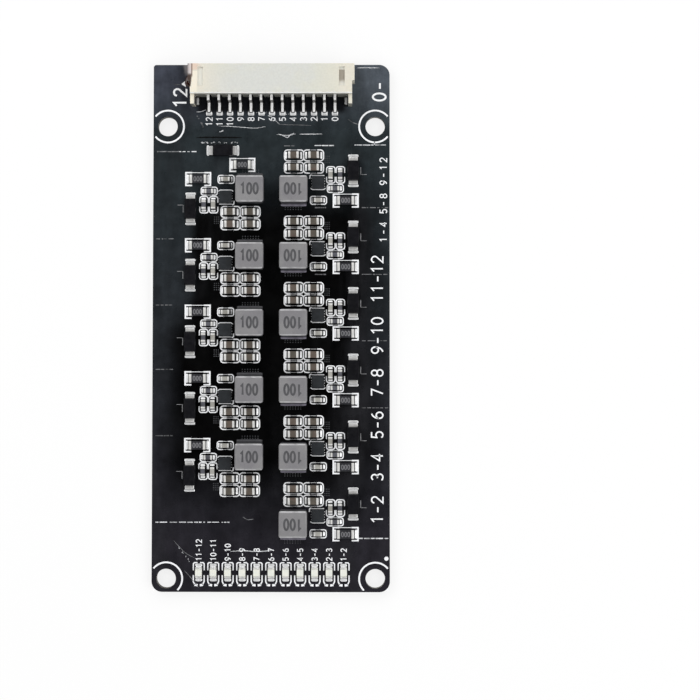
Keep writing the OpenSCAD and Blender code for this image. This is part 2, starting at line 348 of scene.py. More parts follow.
def board_material():
    """Black solder mask with a clear coat; bare laminate on the cut edges."""
    m = Nodes("board_mask")
    x, y, _ = m.axes()
    wobble = m.wander(90, 4, 9 * MM)
    ax = m.math("ADD", m.size(x), wobble)
    yy = m.math("ADD", y, wobble)
    # The thickest, blackest coat lies over the two columns of channels.
    # Painted reflection: the mask is lighter everywhere but over the two columns of channels,
    # where it stays near black.
    # On the left the lighter part reaches in further above the middle of the board.
    lean = m.times(m.span(x, -17 * MM, -12 * MM, 1, 0), m.span(y, -4 * MM, 9 * MM, 0, 7 * MM))
    across = m.span(m.math("ADD", ax, lean), 15 * MM, 24 * MM, 1, 0)
    along = m.times(m.span(yy, -41 * MM, -24 * MM), m.span(yy, 19 * MM, 32 * MM, 1, 0))
    pool = m.times(across, along)
    painted_light_mask = m.mix(m.span(y, -40 * MM, 46 * MM, smooth=False), (0.017, 0.016, 0.0205),
                 (0.020, 0.027, 0.030))
    # The painted reflection is brightest and bluest at the top, more so on the right.
    corner = m.span(y, 36 * MM, 47 * MM)
    slate = m.mix(m.span(x, -12 * MM, 14 * MM), (0.052, 0.058, 0.077), (0.070, 0.082, 0.098))
    painted_light_mask = m.mix(corner, painted_light_mask, slate)
    # Painted shadow: the board is darkened under the header, between its contacts.
    header_shadow = m.times(m.span(m.size(x), 13.4 * MM, 14.8 * MM, 1, 0), m.span(y, 40.2 * MM, 41.6 * MM))
    painted_light_mask = m.mix(m.times(header_shadow, 0.9), painted_light_mask, (0.004, 0.004, 0.005))
    # A pale patch on the board beside the header's left end.
    blot = m.wander(500, 3, 1.2 * MM)
    off = m.size(m.math("ADD", m.math("ADD", x, blot), 16.1 * MM))
    smear = m.times(m.span(off, 0.2 * MM, 0.8 * MM, 1, 0), m.span(y, 47.6 * MM, 48.8 * MM))
    painted_light_mask = m.mix(m.times(smear, 0.7), painted_light_mask, (0.50, 0.46, 0.46))
    mask = m.mix(pool, painted_light_mask, (0.0006, 0.0006, 0.0007))
    streaks = m.new("ShaderNodeMapping", Vector=m.coords, Scale=(1.0, 0.16, 1.0)).outputs[0]
    streak = m.vary(300, 0.75, 1.25, 4, 0.6, streaks)
    mottle = m.span(m.noise(420, 5, 0.6), 0.25, 0.75, 0.7, 1.3, smooth=False)
    mottle = m.times(mottle, streak)
    # Painted sheen: lengthwise streaks of reflection, mostly near the long edges.
    sheen = m.span(m.noise(95, 4, 0.6, streaks), 0.52, 0.72)
    sheen = m.times(sheen, m.span(m.size(x), 6 * MM, 19 * MM, 0.12, 0.8))
    mask = m.mix(sheen, mask, (0.019, 0.019, 0.022))
    mask = m.tint(mask, mottle)
    # The sawn edge shows glass cloth in tinted resin.
    flat = m.span(m.size(m.facing()[2]), 0.4, 0.6)
    plies = m.new("ShaderNodeTexWave", Vector=m.coords, Scale=900.0, Distortion=3.0)
    plies.bands_direction = "Z"
    resin = m.mix(plies.outputs["Fac"], (0.035, 0.03, 0.02), (0.085, 0.075, 0.05))
    m.set("Base Color", m.mix(flat, resin, mask))
    m.set("Roughness", m.vary(300, 0.22, 0.34, 4))
    m.set("Specular IOR Level", 0.16)
    m.bump(m.noise(700, 5), 0.2, 0.00003)
    return m.mat


def header_material():
    """Ivory nylon: yellower at its ends, and scorched at the left one."""
    m = Nodes("header_nylon")
    x, y, z = m.axes()
    ends = m.span(m.size(m.math("SUBTRACT", x, 0.1 * MM)), 7 * MM, 14.6 * MM)
    body = m.mix(ends, (0.655, 0.662, 0.625), (0.735, 0.70, 0.60))
    patch = m.span(m.noise(160, 3), 0.42, 0.62)
    body = m.mix(m.times(patch, 0.5), body, (0.68, 0.675, 0.57))
    body = m.tint(body, m.vary(2500, 0.96, 1.03, 2))
    blot = m.wander(420, 4, 0.7 * MM)
    xx = m.math("ADD", x, blot)
    yy = m.math("ADD", y, blot)
    peach = m.times(m.span(xx, -14.2 * MM, -12.6 * MM, 1, 0), m.span(yy, 48.0 * MM, 48.5 * MM))
    body = m.mix(m.times(peach, 0.85), body, (0.74, 0.57, 0.46))
    # Painted highlight: a bright patch near the left end, beyond the peach tint.
    left_end_highlight = m.times(m.span(xx, -14.1 * MM, -13.6 * MM, 1, 0), m.span(yy, 48.15 * MM, 47.85 * MM))
    body = m.mix(m.times(left_end_highlight, 0.6), body, (0.93, 0.86, 0.72))
    # The left end was scorched: pale towards the mouth, nearly black behind, and a dark rim.
    scorch = m.mix(m.span(yy, 47.2 * MM, 47.8 * MM), (0.030, 0.008, 0.004),
                   m.mix(m.span(xx, -15.7 * MM, -15.1 * MM), (0.13, 0.12, 0.13),
                         (0.62, 0.56, 0.55)))
    burnt = m.times(m.span(xx, -15.0 * MM, -14.75 * MM, 1, 0), m.span(yy, 45.0 * MM, 45.5 * MM))
    body = m.mix(m.times(burnt, 0.95), body, scorch)
    rim = m.size(m.math("ADD", x, 14.78 * MM))
    rim = m.times(m.span(rim, 0.05 * MM, 0.17 * MM, 1, 0), m.span(yy, 46.6 * MM, 47.2 * MM))
    body = m.mix(m.times(rim, 0.8), body, (0.10, 0.05, 0.04))
    # Painted shade darkens the rear wall, and a painted highlight brightens the chamfer along its
    # top edge.
    facing = m.facing()[1]
    rear = m.times(m.span(facing, -0.97, -0.88, 1, 0), m.span(y, 44.0 * MM, 45.0 * MM, 1, 0.4))
    body = m.mix(m.times(rear, 0.9), body, (0.20, 0.20, 0.18))
    bright = m.times(m.span(facing, -0.88, -0.8), m.span(facing, -0.55, -0.45, 1, 0))
    body = m.mix(bright, body, (0.97, 0.97, 0.94))
    # The latch recesses: painted light lifts them so that the left one hardly shows, and painted
    # shade darkens the right one.
    pit = m.times(m.span(z, TOP + 4.78 * MM, TOP + 4.88 * MM, 1, 0),
                  m.span(z, TOP + 4.3 * MM, TOP + 4.4 * MM))
    pit = m.times(pit, m.span(m.size(x), 12 * MM, 12.7 * MM))
    pit = m.times(pit, m.span(m.size(x), 14.2 * MM, 14.6 * MM, 1, 0))
    pit = m.times(pit, m.span(y, 49.0 * MM, 49.2 * MM, 1, 0))
    # Painted light on the recesses.
    body = m.mix(m.times(pit, 0.75), body, (0.80, 0.79, 0.73))
    # Painted shade in the right recess.
    recess_shade = m.times(m.span(yy, 45.6 * MM, 46.6 * MM), m.span(yy, 48.1 * MM, 48.35 * MM, 1, 0))
    recess_shade = m.times(m.times(pit, m.span(x, 12 * MM, 13 * MM)), recess_shade)
    body = m.mix(m.times(recess_shade, 0.9), body, (0.34, 0.30, 0.24))
    m.set("Base Color", body)
    m.set("Roughness", 0.42)
    m.set("Specular IOR Level", 0.4)
    m.set("Subsurface Weight", 0.12)
    m.set("Subsurface Radius", (0.0012, 0.001, 0.0008))
    m.set("Subsurface Scale", 0.6)
    m.bump(m.noise(5200, 3), 0.18, 0.00001)
    return m.mat


def inductor_material():
    """Pressed iron powder: light grey with a dark and a bright speckle."""
    m = Nodes("inductor_moulding")
    base = m.mix(m.span(m.noise(260, 3), 0.35, 0.65), (0.208, 0.203, 0.214), (0.246, 0.242, 0.246))
    dark = m.span(m.noise(5200, 3, 0.6), 0.58, 0.72)
    base = m.mix(m.times(dark, 0.35), base, (0.11, 0.11, 0.12))
    light = m.span(m.noise(6800, 2, 0.6), 0.60, 0.74)
    base = m.mix(m.times(light, 0.4), base, (0.40, 0.40, 0.41))
    _, along, up = m.facing()
    # Painted highlight along the bevels between the top and the sides.
    worn = m.times(m.span(up, 0.3, 0.6), m.span(up, 0.86, 0.985, 1, 0))
    # The painted highlight is strongest on the edges above the terminals, and hardly shows on the
    # other two.
    worn = m.times(worn, m.span(m.size(along), 0.1, 0.4, 0.12, 1.0))
    worn = m.times(worn, m.span(m.noise(700, 3), 0.3, 0.6, 0.35, 1.0))
    base = m.mix(worn, base, (0.56, 0.56, 0.57))
    # Painted shade: the upright sides are darkened nearly to black.
    base = m.mix(m.span(up, 0.1, 0.4, 0.85, 0), base, (0.02, 0.02, 0.024))
    m.set("Base Color", base)
    m.set("Roughness", m.vary(1500, 0.42, 0.62))
    m.set("Metallic", 0.15)
    m.bump(m.noise(3800, 5, 0.65), 0.5, 0.00003)
    return m.mat


def ceramic_material(name, first, second, third):
    """Fired ceramic whose colour differs from one chip to the next."""
    m = Nodes(name)
    cell = m.tree.nodes.new("ShaderNodeTexVoronoi")
    m.put(cell.inputs["Vector"], m.coords)
    cell.inputs["Scale"].default_value = 380
    pick = m.new("ShaderNodeSeparateXYZ", Vector=cell.outputs["Color"]).outputs[0]
    body = m.mix(m.span(pick, 0.1, 0.9), first, second)
    body = m.mix(m.times(m.span(m.noise(900, 3), 0.4, 0.7), 0.45), body, third)
    m.set("Base Color", body)
    m.set("Roughness", m.vary(1800, 0.28, 0.46))
    m.bump(m.noise(5000, 3), 0.2, 0.00001)
    return m.mat


def lens_material():
    m = Nodes("led_lens")
    body = m.mix(m.span(m.noise(700, 3), 0.35, 0.65), (0.76, 0.78, 0.72), (0.83, 0.83, 0.76))
    m.set("Base Color", body)
    m.set("Roughness", 0.3)
    m.set("Subsurface Weight", 0.3)
    m.set("Subsurface Radius", (0.0006, 0.0006, 0.0005))
    m.set("Subsurface Scale", 0.5)
    m.bump(m.noise(2600, 3), 0.15, 0.00001)
    return m.mat


MATS = {
    "board": board_material(),
    "nylon": header_material(),
    "inductor": inductor_material(),
    "bulk": ceramic_material("capacitor_ceramic", (0.108, 0.082, 0.067), (0.083, 0.074, 0.060),
                             (0.14, 0.117, 0.097)),
    "small": ceramic_material("small_capacitor_ceramic", (0.37, 0.362, 0.335), (0.28, 0.27, 0.245),
                              (0.46, 0.455, 0.42)),
    "lens": lens_material(),
    "solder": simple("solder", (0.86, 0.865, 0.87), 0.40, 0.62, spread=0.05, scale=1500,
                     bump=0.12, bump_scale=1500, bump_depth=0.00002, specular=0.6,
                     steep=(0.016, 0.016, 0.018), slope=(0.66, 0.975)),
    "tin": simple("tinned_metal", (0.76, 0.755, 0.735), 0.45, 0.5, spread=0.05, scale=1800,
                  bump=0.12, steep=(0.16, 0.155, 0.15)),
    # contact_tin is near white and hardly metal: a painted highlight on the header's contact feet.
    "contact_tin": simple("contact_tin", (1.0, 0.995, 0.985), 0.4, 0.08, spread=0.02, scale=1800,
                          bump=0.12, steep=(0.14, 0.135, 0.13)),
    "lead_tin": simple("lead_tin", (0.72, 0.715, 0.70), 0.42, 0.5, spread=0.12, scale=1500,
                       bump=0.2, steep=(0.03, 0.03, 0.032)),
    # The next two are dark as painted shade on the inductors' pads and terminals; the chip leads
    # take the dark tin as well.
    "dull_and_shaded_solder": simple("dull_and_shaded_solder", (0.15, 0.14, 0.175), 0.5, 0.3, spread=0.3, scale=1200,
                          bump=0.3, steep=(0.07, 0.066, 0.08)),
    "dull_and_shaded_tin": simple("dull_and_shaded_tin", (0.05, 0.05, 0.055), 0.55, 0.4, spread=0.2, scale=1800,
                       bump=0.2),
    "chip": simple("chip_epoxy", (0.0155, 0.018, 0.021), 0.5, spread=0.25, bump=0.3,
                   specular=0.3),
    "diode": simple("diode_epoxy", (0.0045, 0.0045, 0.0062), 0.42, spread=0.3, bump=0.25,
                    specular=0.16),
    "film": simple("resistor_film", (0.02, 0.02, 0.024), 0.4, spread=0.25, bump=0.2,
                   specular=0.35),
    "small_film": simple("small_resistor_film", (0.085, 0.086, 0.10), 0.4, spread=0.35,
                         bump=0.2, specular=0.35),
    "white": simple("white_print", (0.90, 0.91, 0.93), 0.6, spread=0.05, scale=2600, bump=0.2,
                    bump_depth=0.00001),
    "grey": simple("value_print", (0.07, 0.07, 0.075), 0.6, spread=0.2, bump=0.2),
    "pale": simple("resistor_print", (0.17, 0.17, 0.18), 0.6, spread=0.2, bump=0.2),
    "worn": simple("worn_print", (0.27, 0.27, 0.28), 0.6, spread=0.4, scale=1800,
                   bump=0.2),
    # glint and step are lighter than the clear coat: painted highlights along its beads, crumbs
    # and edges.
    "glint": simple("coat_edge", (0.60, 0.61, 0.63), 0.35, spread=0.5, scale=900, bump=0.3),
    "step": simple("copper_edge", (0.15, 0.152, 0.158), 0.35, spread=0.7, scale=700,
                   bump=0.3),
    "via": simple("via_ring", (0.055, 0.057, 0.062), 0.35, spread=0.5, scale=1500,
                  bump=0.3),
    "groove": simple("bare_groove", (0.0012, 0.0012, 0.0012), 0.5, spread=0.4, bump=0.3,
                     specular=0.1),
    "flux": simple("flux_residue", (0.035, 0.009, 0.005), 0.22, spread=0.5, scale=1100,
                   bump=0.5, bump_scale=1500, bump_depth=0.00005),
}


# ---- The board, and what keeps its CAD form --------------------------------

NODES["circuit_board"].data.materials.clear()
NODES["circuit_board"].data.materials.append(MATS["board"])

softened("header_housing", 0.07 * MM, MATS["nylon"], "housing")
softened("header_contacts", 0.05 * MM, MATS["contact_tin"], "contacts")
softened("header_solder_tabs", 0.04 * MM, MATS["tin"], "header_tabs")
softened("inductor_terminals", 0.03 * MM, MATS["dull_and_shaded_tin"], "terminals")
softened("diode_leads", 0.05 * MM, MATS["lead_tin"], "diode_tabs")
softened("chip_leads", 0.02 * MM, MATS["dull_and_shaded_tin"], "chip_contacts", segments=1)
for i in range(1, CHANNELS + 1):
    softened(f"inductor_{i}", 0.09 * MM, MATS["inductor"],
             f"coil_{i}", angle=20, segments=3)
    softened(f"balancer_chip_{i}", 0.04 * MM, MATS["chip"], f"chip_{i}")
    softened(f"protection_diode_{i}", 0.06 * MM, MATS["diode"], f"diode_{i}",
             angle=12)
softened("supply_diode", 0.06 * MM, MATS["diode"], "diode_supply", angle=12)


# ---- Chip parts ------------------------------------------------------------

def chip_blocks(node, name, material, radius, grow):
    """Rounded blocks in the places of a node's solids; grow lets end caps stand proud."""
    out = Builder()
    for low, high in islands(node):
        g = Vector((grow, grow, 0))
        out.block(low - g, high + g + Vector((0, 0, grow)), radius)
    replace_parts(finish_mesh(name, out.mesh(name), material), node)


# Node, piece, material, slot, edge radius and growth in millimetres.
for node, name, look, slot, radius, grow in (
        ("bulk_capacitors", "bulk_chips", "bulk", "capacitor_ceramic", 0.05, 0),
        ("bulk_capacitor_ends", "bulk_ends", "tin", "tinned_metal", 0.09, 0.015),
        ("small_capacitors", "small_chips", "small", "small_capacitor_ceramic", 0.05, 0),
        ("small_capacitor_ends", "small_ends", "tin", "tinned_metal", 0.07, 0.012),
        ("small_resistors", "resistor_chips", "small_film", "resistor_film", 0.03, 0),
        ("small_resistor_ends", "resistor_ends", "tin", "tinned_metal", 0.04, 0.01),
        ("link_resistors", "link_chips", "film", "resistor_film", 0.04, 0),
        ("link_resistor_ends", "link_ends", "tin", "tinned_metal", 0.05, 0.01)):
    chip_blocks(node, name, MATS[look], radius * MM, grow * MM)
softened("indicator_leds", 0.05 * MM, MATS["lens"], "leds")
softened("led_terminals", 0.012 * MM, MATS["tin"], "led_ends", segments=1)


# ---- Solder ----------------------------------------------------------------

THIN_LEAD = 0.3 * MM                    # a lead lower than this has a flat, short fillet
THICK_PART = 0.9 * MM
FOOT_END_Y = 43 * MM                    # a contact's foot ends where its leg starts
FOOT_HEIGHT = 0.76 * MM


def solder_joint(out, pad, part, reach, toe=0.0):
    """A pad wetted with solder that climbs the terminal standing on it.

    reach is how fast the solder falls away from the terminal; toe takes from it at the
    terminal's free end, nearest the bottom of the board. A thin lead's solder falls
    away at once.
    """
    low, high = pad
    size = high - low
    cell = 0.1 * MM
    most = 14
    if part:
        t_low, t_high = part
        tall = t_high.z - t_low.z
        climb = min(0.62 * tall, 0.75 * MM)
        if tall < THIN_LEAD:
            climb = 0.9 * tall
            cell = 0.05 * MM
            most = 28
    steps = [max(4, min(most, int(size[i] / cell))) for i in (0, 1)]
    verts = []
    for j in range(steps[1] + 1):
        for i in range(steps[0] + 1):
            u = i / steps[0]
            v = j / steps[1]
            x = low.x + u * size.x
            y = low.y + v * size.y
            edge = min(x - low.x, high.x - x, y - low.y, high.y - y)
            rim = min(1.0, edge / (0.22 * MM))
            rise = 0.05 * MM * math.sqrt(max(0.0, rim * (2 - rim)))
            if part:
                dx = max(t_low.x - x, 0, x - t_high.x)
                dy = max(t_low.y - y, 0, y - t_high.y)
                away = math.hypot(dx, dy)
                along = (t_high.y - y) / (t_high.y - t_low.y)
                fall = reach - toe * min(1.0, max(0.0, along)) ** 4
                if tall < THIN_LEAD:
                    swell = max(0.0, 1 - away / (0.2 * MM))
                else:
                    swell = math.exp(-away / fall) * min(1.0, rim * 1.6)
                rise += climb * swell
            # The corners of a pad's solder are rounded in plan.
            cx = (abs(u - 0.5) * 2) ** 6
            cy = (abs(v - 0.5) * 2) ** 6
            pull = 0.06 * MM * cx * cy
            x -= math.copysign(pull, u - 0.5)
            y -= math.copysign(pull, v - 0.5)
            verts.append((x, y, low.z + 0.02 * MM + rise))
    nx, ny = steps
    top = len(verts)
    ring = ([(i, 0) for i in range(nx)] + [(nx, j) for j in range(ny)]
            + [(i, ny) for i in range(nx, 0, -1)] + [(0, j) for j in range(ny, 0, -1)])

    def index(i, j):
        return j * (nx + 1) + i

    for i, j in ring:
        x, y, _ = verts[index(i, j)]
        verts.append((x, y, low.z))
    faces = [(index(i, j), index(i + 1, j), index(i + 1, j + 1), index(i, j + 1))
             for j in range(ny) for i in range(nx)]
    n = len(ring)
    for k in range(n):
        a = index(*ring[k])
        b = index(*ring[(k + 1) % n])
        faces.append((b, a, top + k, top + (k + 1) % n))
    faces.append(tuple(top + k for k in range(n - 1, -1, -1)))
    out.add(verts, faces)


def overlap(a, b):
    """Area shared by two boxes seen from above."""
    w = [min(a[1][i], b[1][i]) - max(a[0][i], b[0][i]) for i in (0, 1)]
    return w[0] * w[1] if min(w) > 0 else 0


STANDING = [box for node in ("inductor_terminals", "diode_leads", "bulk_capacitor_ends",
                             "small_capacitor_ends", "small_resistor_ends",
                             "link_resistor_ends", "led_terminals", "header_solder_tabs")
            for box in islands(node)]
FEET = [(low, Vector((high.x, FOOT_END_Y, TOP + FOOT_HEIGHT)))
        for low, high in islands("header_contacts")]

COILS = [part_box(f"inductor_{i}") for i in range(1, CHANNELS + 1)]
solder = Builder()
right_shaded_pads = []
dark_pads = []
for pad in islands("solder_pads"):
    first = len(solder.faces)
    foot = [b for b in FEET if overlap(pad, b) > 0]
    under = sorted((b for b in STANDING if overlap(pad, b) > 0), key=lambda b: -overlap(pad, b))
    if foot:
        solder_joint(solder, pad, foot[0], 0.19 * MM, 0.14 * MM)
    else:
        part = under[0] if under else None
        tall = part[1].z - part[0].z if part else 0
        solder_joint(solder, pad, part, 0.13 * MM if tall > THICK_PART else 0.11 * MM)
    # Painted shade: the inductors' pads take dark solder on the right and dark tin on the left.
    if any(overlap(pad, coil) > 0 for coil in COILS):
        side = right_shaded_pads if pad[0].x > 0 else dark_pads
        side.extend(range(first, len(solder.faces)))
joints = finish_mesh("solder_joints", solder.mesh("solder_joints"), MATS["solder"], 60)
joints.data.materials.append(MATS["dull_and_shaded_solder"])
joints.data.materials.append(MATS["dull_and_shaded_tin"])
for index, faces in ((1, right_shaded_pads), (2, dark_pads)):
    for k in faces:
        joints.data.polygons[k].material_index = index
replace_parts(joints, "solder_pads")


# ---- Print -----------------------------------------------------------------

PRINT_RISE = 0.02 * MM
THIN = 0.2 * MM

GLYPHS = {
    "0": [arc(0.3, 0.5, 0.28, 0.5, 90, 450, 20)],
    "1": [[(0.1, 0.78), (0.34, 1.0), (0.34, 0.0)]],
    "2": [arc(0.3, 0.72, 0.27, 0.28, 170, -35, 8) + [(0.03, 0.0), (0.58, 0.0)]],
    "3": [arc(0.28, 0.75, 0.25, 0.25, 150, -90, 8) + arc(0.28, 0.26, 0.29, 0.26, 90, -150, 9)],
    "4": [[(0.44, 0.0), (0.44, 1.0), (0.02, 0.3), (0.6, 0.3)]],
    "5": [[(0.53, 1.0), (0.1, 1.0), (0.06, 0.54)] + arc(0.28, 0.31, 0.28, 0.31, 120, -145, 9)],
    "6": [arc(0.52, 0.34, 0.5, 0.66, 100, 180, 6) + arc(0.29, 0.3, 0.27, 0.3, 180, 530, 14)],
    "7": [[(0.02, 1.0), (0.58, 1.0), (0.2, 0.0)]],
    "8": [arc(0.3, 0.75, 0.24, 0.25, 90, 450, 14), arc(0.3, 0.26, 0.28, 0.26, 90, 450, 14)],
    "9": [arc(0.08, 0.66, 0.5, 0.66, -80, 0, 6) + arc(0.31, 0.7, 0.27, 0.3, 0, 350, 14)],
    "-": [[(0.08, 0.45), (0.52, 0.45)]],
}
ADVANCE = 0.86
LAYER = 0.003 * MM


def write(out, text, x, y, height, line, z, turn=0, rise=PRINT_RISE, squeeze=1.0,
          advance=ADVANCE):
    """Plain numbers in single strokes, starting at (x, y) and running along the turn."""
    c = math.cos(math.radians(turn))
    s = math.sin(math.radians(turn))
    for k, ch in enumerate(text):
        for order, stroke in enumerate(GLYPHS[ch]):
            points = []
            for px, py in stroke:
                u = (px + k * advance) * height * squeeze
                v = py * height
                points.append((x + u * c - v * s, y + u * s + v * c))
            ends = (Vector(points[0]) - Vector(points[-1])).length
            closed = ends < 1e-7 and len(points) > 3
            # Each stroke lies a little over the one before, which it may cross.
            out.strip(points[:-1] if closed else points, line, z, rise + order * LAYER, closed)


def text_length(text, height, squeeze=1.0):
    return ((len(text) - 1) * ADVANCE + 0.6) * height * squeeze


def broken(out, points, gap, line=THIN, rise=PRINT_RISE):
    """A closed outline drawn but for the stretches inside the gap box."""
    run = []
    n = len(points)
    dense = []
    for i in range(n):
        a = Vector(points[i])
        b = Vector(points[(i + 1) % n])
        parts = max(1, int((b - a).length / (0.15 * MM)))
        dense += [a.lerp(b, k / parts) for k in range(parts)]
    hidden = [gap[0] < p.x < gap[2] and gap[1] < p.y < gap[3] for p in dense]
    if not any(hidden):
        out.strip(points, line, TOP, rise, True)
        return
    start = hidden.index(True)
    for k in range(len(dense) + 1):
        i = (start + k) % len(dense)
        if hidden[i] or k == len(dense):
            if len(run) > 1:
                out.strip(run, line, TOP, rise)
            run = []
        else:
            run.append(dense[i])


silk = Builder()
worn = Builder()


def ink(points, line):
    """A stroke of the white print."""
    silk.strip(points, line, TOP, PRINT_RISE)


BULK = islands("bulk_capacitors")
SMALL = islands("small_capacitors")
SMALL_R = islands("small_resistors")
LINKS = islands("link_resistors")
LEDS = islands("indicator_leds")
CHIPS = [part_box(f"balancer_chip_{i}") for i in range(1, CHANNELS + 1)]
DIODES = [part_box(f"protection_diode_{i}") for i in range(1, CHANNELS + 1)]

REGISTER = 0.06 * MM                    # the print lies this far right of the pads
WAIST_LINE = 0.07 * MM
BULK_REACH = 1.81 * MM                  # from a block's middle to its outline's outer end
LINK_REACH = 2.34 * MM
LINK_HALF = 1.22 * MM                   # half the height of a link's outline


def outlined(out, x0, x1, c_y, height, radius, line, waist, rise=PRINT_RISE):
    """A rounded outline that thins to a hair along the middle of its two long sides."""
    x = (x0 + x1) / 2
    gap = (x - waist, c_y - height, x + waist, c_y + height)
    broken(out, rounded_rect(x, c_y, x1 - x0, height, radius), gap, line, rise)
    for side in (-1, 1):
        y = c_y + side * height / 2
        out.strip([(x - waist, y), (x + waist, y)], WAIST_LINE, TOP, PRINT_RISE)


for box in BULK:
    c = middle(box)
    ends = {-1: c.x - BULK_REACH, 1: c.x + BULK_REACH}
    rise = PRINT_RISE
    for other in BULK:
        o = middle(other)
        if abs(o.y - c.y) < 0.1 * MM and 0 < abs(o.x - c.x) < 5 * MM:
            ends[1 if o.x > c.x else -1] = (o.x + c.x) / 2 - REGISTER
            # Two outlines share a side, and one of them lies over the other.
            rise += LAYER if o.x > c.x else 0
    outlined(silk, ends[-1] + REGISTER, ends[1] + REGISTER, c.y, 2.08 * MM, 0.6 * MM,
             0.22 * MM, 0.55 * MM, rise)
for box in SMALL + SMALL_R:
    c = middle(box)
    upright = (box[1] - box[0]).y > (box[1] - box[0]).x
    w, h = (1.6, 3.12) if upright else (3.06, 1.52)
    half = 0.32 * MM
    x = c.x + REGISTER
    if upright:
        gap = (x - 2 * MM, c.y - half, x + 2 * MM, c.y + half)
        broken(silk, rounded_rect(x, c.y, w * MM, h * MM, 0.42 * MM), gap)
    else:
        outlined(silk, x - w / 2 * MM, x + w / 2 * MM, c.y, h * MM, 0.42 * MM, THIN, 0.45 * MM)
for box in LINKS:
    c = middle(box)
    inner = 1.15 * MM
    for side in (-1, 1):
        end = c.x + side * LINK_REACH
        pts = [(c.x + side * inner, c.y + LINK_HALF), (end, c.y + LINK_HALF),
               (end, c.y - LINK_HALF), (c.x + side * inner, c.y - LINK_HALF)]
        ink(pts, 0.28 * MM)
    line_y = c.y + LINK_HALF
    ink([(c.x - inner, line_y), (c.x + inner, line_y)], 0.13 * MM)
for box, coil in zip(CHIPS, COILS):
    c = middle(box)
    side = 1 if middle(coil).x > 0 else -1
    y = c.y + side * 1.34 * MM
    ink([(c.x - 1.2 * MM, y), (c.x + 1.2 * MM, y)], 0.15 * MM)
    y = c.y - side * 1.36 * MM
    pts = [(c.x - 1.42 * MM, y + side * 0.25 * MM), (c.x - 1.05 * MM, y),
           (c.x + 1.05 * MM, y), (c.x + 1.42 * MM, y + side * 0.25 * MM)]
    ink(pts, 0.17 * MM)
    # A rounded tick at the corner where the first lead is.
    x = c.x - side * 1.6 * MM
    y = c.y + side * 1.0 * MM
    ink([(x, y - side * 0.3 * MM), (x + side * 0.05 * MM, y + side * 0.3 * MM),
                (x + side * 0.35 * MM, y + side * 0.5 * MM)], 0.22 * MM)
for box, coil in zip(DIODES, COILS):
    c = middle(box)
    side = 1 if middle(coil).x > 0 else -1
    x = c.x + side * 1.42 * MM
    low = c.y - side * 0.72 * MM
    worn.strip([(x, low), (x, c.y + side * 0.68 * MM)], 0.15 * MM, TOP, PRINT_RISE)
    worn.strip([(x, low), (x + side * 1.1 * MM, low)], 0.09 * MM, TOP, PRINT_RISE)

# The LEDs: a bracket above, a chamfered one below, and the two cells each one joins.
LED_TEXT = 1.03 * MM
for k, box in enumerate(LEDS):
    c = middle(box)
    w = 1.02 * MM
    top = c.y + 1.85 * MM
    low = c.y - 2.4 * MM
    for side in (-1, 1):
        ink([(c.x + side * 0.25 * MM, top), (c.x + side * (w - 0.2 * MM), top),
                    (c.x + side * w, top - 0.2 * MM), (c.x + side * w, c.y + 0.4 * MM)],
                   0.22 * MM)
        ink([(c.x + side * w, c.y - 0.5 * MM), (c.x + side * w, low + 0.7 * MM),
                    (c.x + side * (w - 0.3 * MM), low + 0.1 * MM)], 0.24 * MM)
        ink([(c.x + side * (w - 0.2 * MM), low + 0.1 * MM),
                    (c.x + side * 0.2 * MM, low)], 0.42 * MM)
    cell = CHANNELS - k
    write(silk, f"{cell}-{cell + 1}", c.x + LED_TEXT / 2, -44.1 * MM, LED_TEXT, 0.17 * MM, TOP,
          90, squeeze=0.95)

# Contact numbers, the big terminal marks and the rings round the holes.
CONTACTS = islands("header_contacts")
WAYS = len(CONTACTS)
for k, (low, high) in enumerate(CONTACTS):
    x = (low.x + high.x) / 2
    number = str(WAYS - 1 - k)
    size = 1.15 * MM
    write(silk, number, x + size / 2, 39.95 * MM - text_length(number, size, 0.95), size,
          0.18 * MM, TOP, 90, squeeze=0.95)
write(silk, "12", -16.25 * MM, 41.95 * MM, 2.4 * MM, 0.36 * MM, TOP, 90)
write(silk, "0-", 21.75 * MM, 43.1 * MM, 2.45 * MM, 0.36 * MM, TOP, 90)
silk.prism([(-16.4 * MM, 45.75 * MM), (-16.4 * MM, 47.0 * MM), (-17.25 * MM, 46.35 * MM)], TOP,
           PRINT_RISE)

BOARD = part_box("circuit_board")
PATTERN = next(m for m in frame["record"]["mounts"] if m["kind"] == "bolt_pattern")
HOLE_X = PATTERN["dims"]["spacing_x_mm"] / 2 * MM
HOLE_Y = PATTERN["dims"]["spacing_y_mm"] / 2 * MM
RING_RADIUS = 3.05 * MM
RING_LINE = 0.32 * MM


def ring(out, cx, cy, radius, line):
    """A ring round a hole, cut off where it would cross the board's edge."""
    points = []
    runs = []
    for k in range(121):
        a = 2 * math.pi * k / 120
        p = (cx + radius * math.cos(a), cy + radius * math.sin(a))
        inside = (BOARD[0].x + line < p[0] < BOARD[1].x - line
                  and BOARD[0].y + line < p[1] < BOARD[1].y - line)
        if inside:
            points.append(p)
        elif points:
            runs.append(points)
            points = []
    if points:
        runs.append(points)
    for run in runs:
        if len(run) > 1:
            out.strip(run, line, TOP, PRINT_RISE)


for sx in (-1, 1):
    for sy in (1, -1):
        ring(silk, PATTERN["pos_m"][0] + sx * HOLE_X, PATTERN["pos_m"][1] + sy * HOLE_Y,
             RING_RADIUS, RING_LINE)

# The cells stand along the right edge, two to a pair and then four to a group.
PAIRS = [f"{n}-{n + 1}" for n in range(1, WAYS, 2)]
GROUPS = [f"{n}-{n + 3}" for n in range(1, WAYS, 4)]
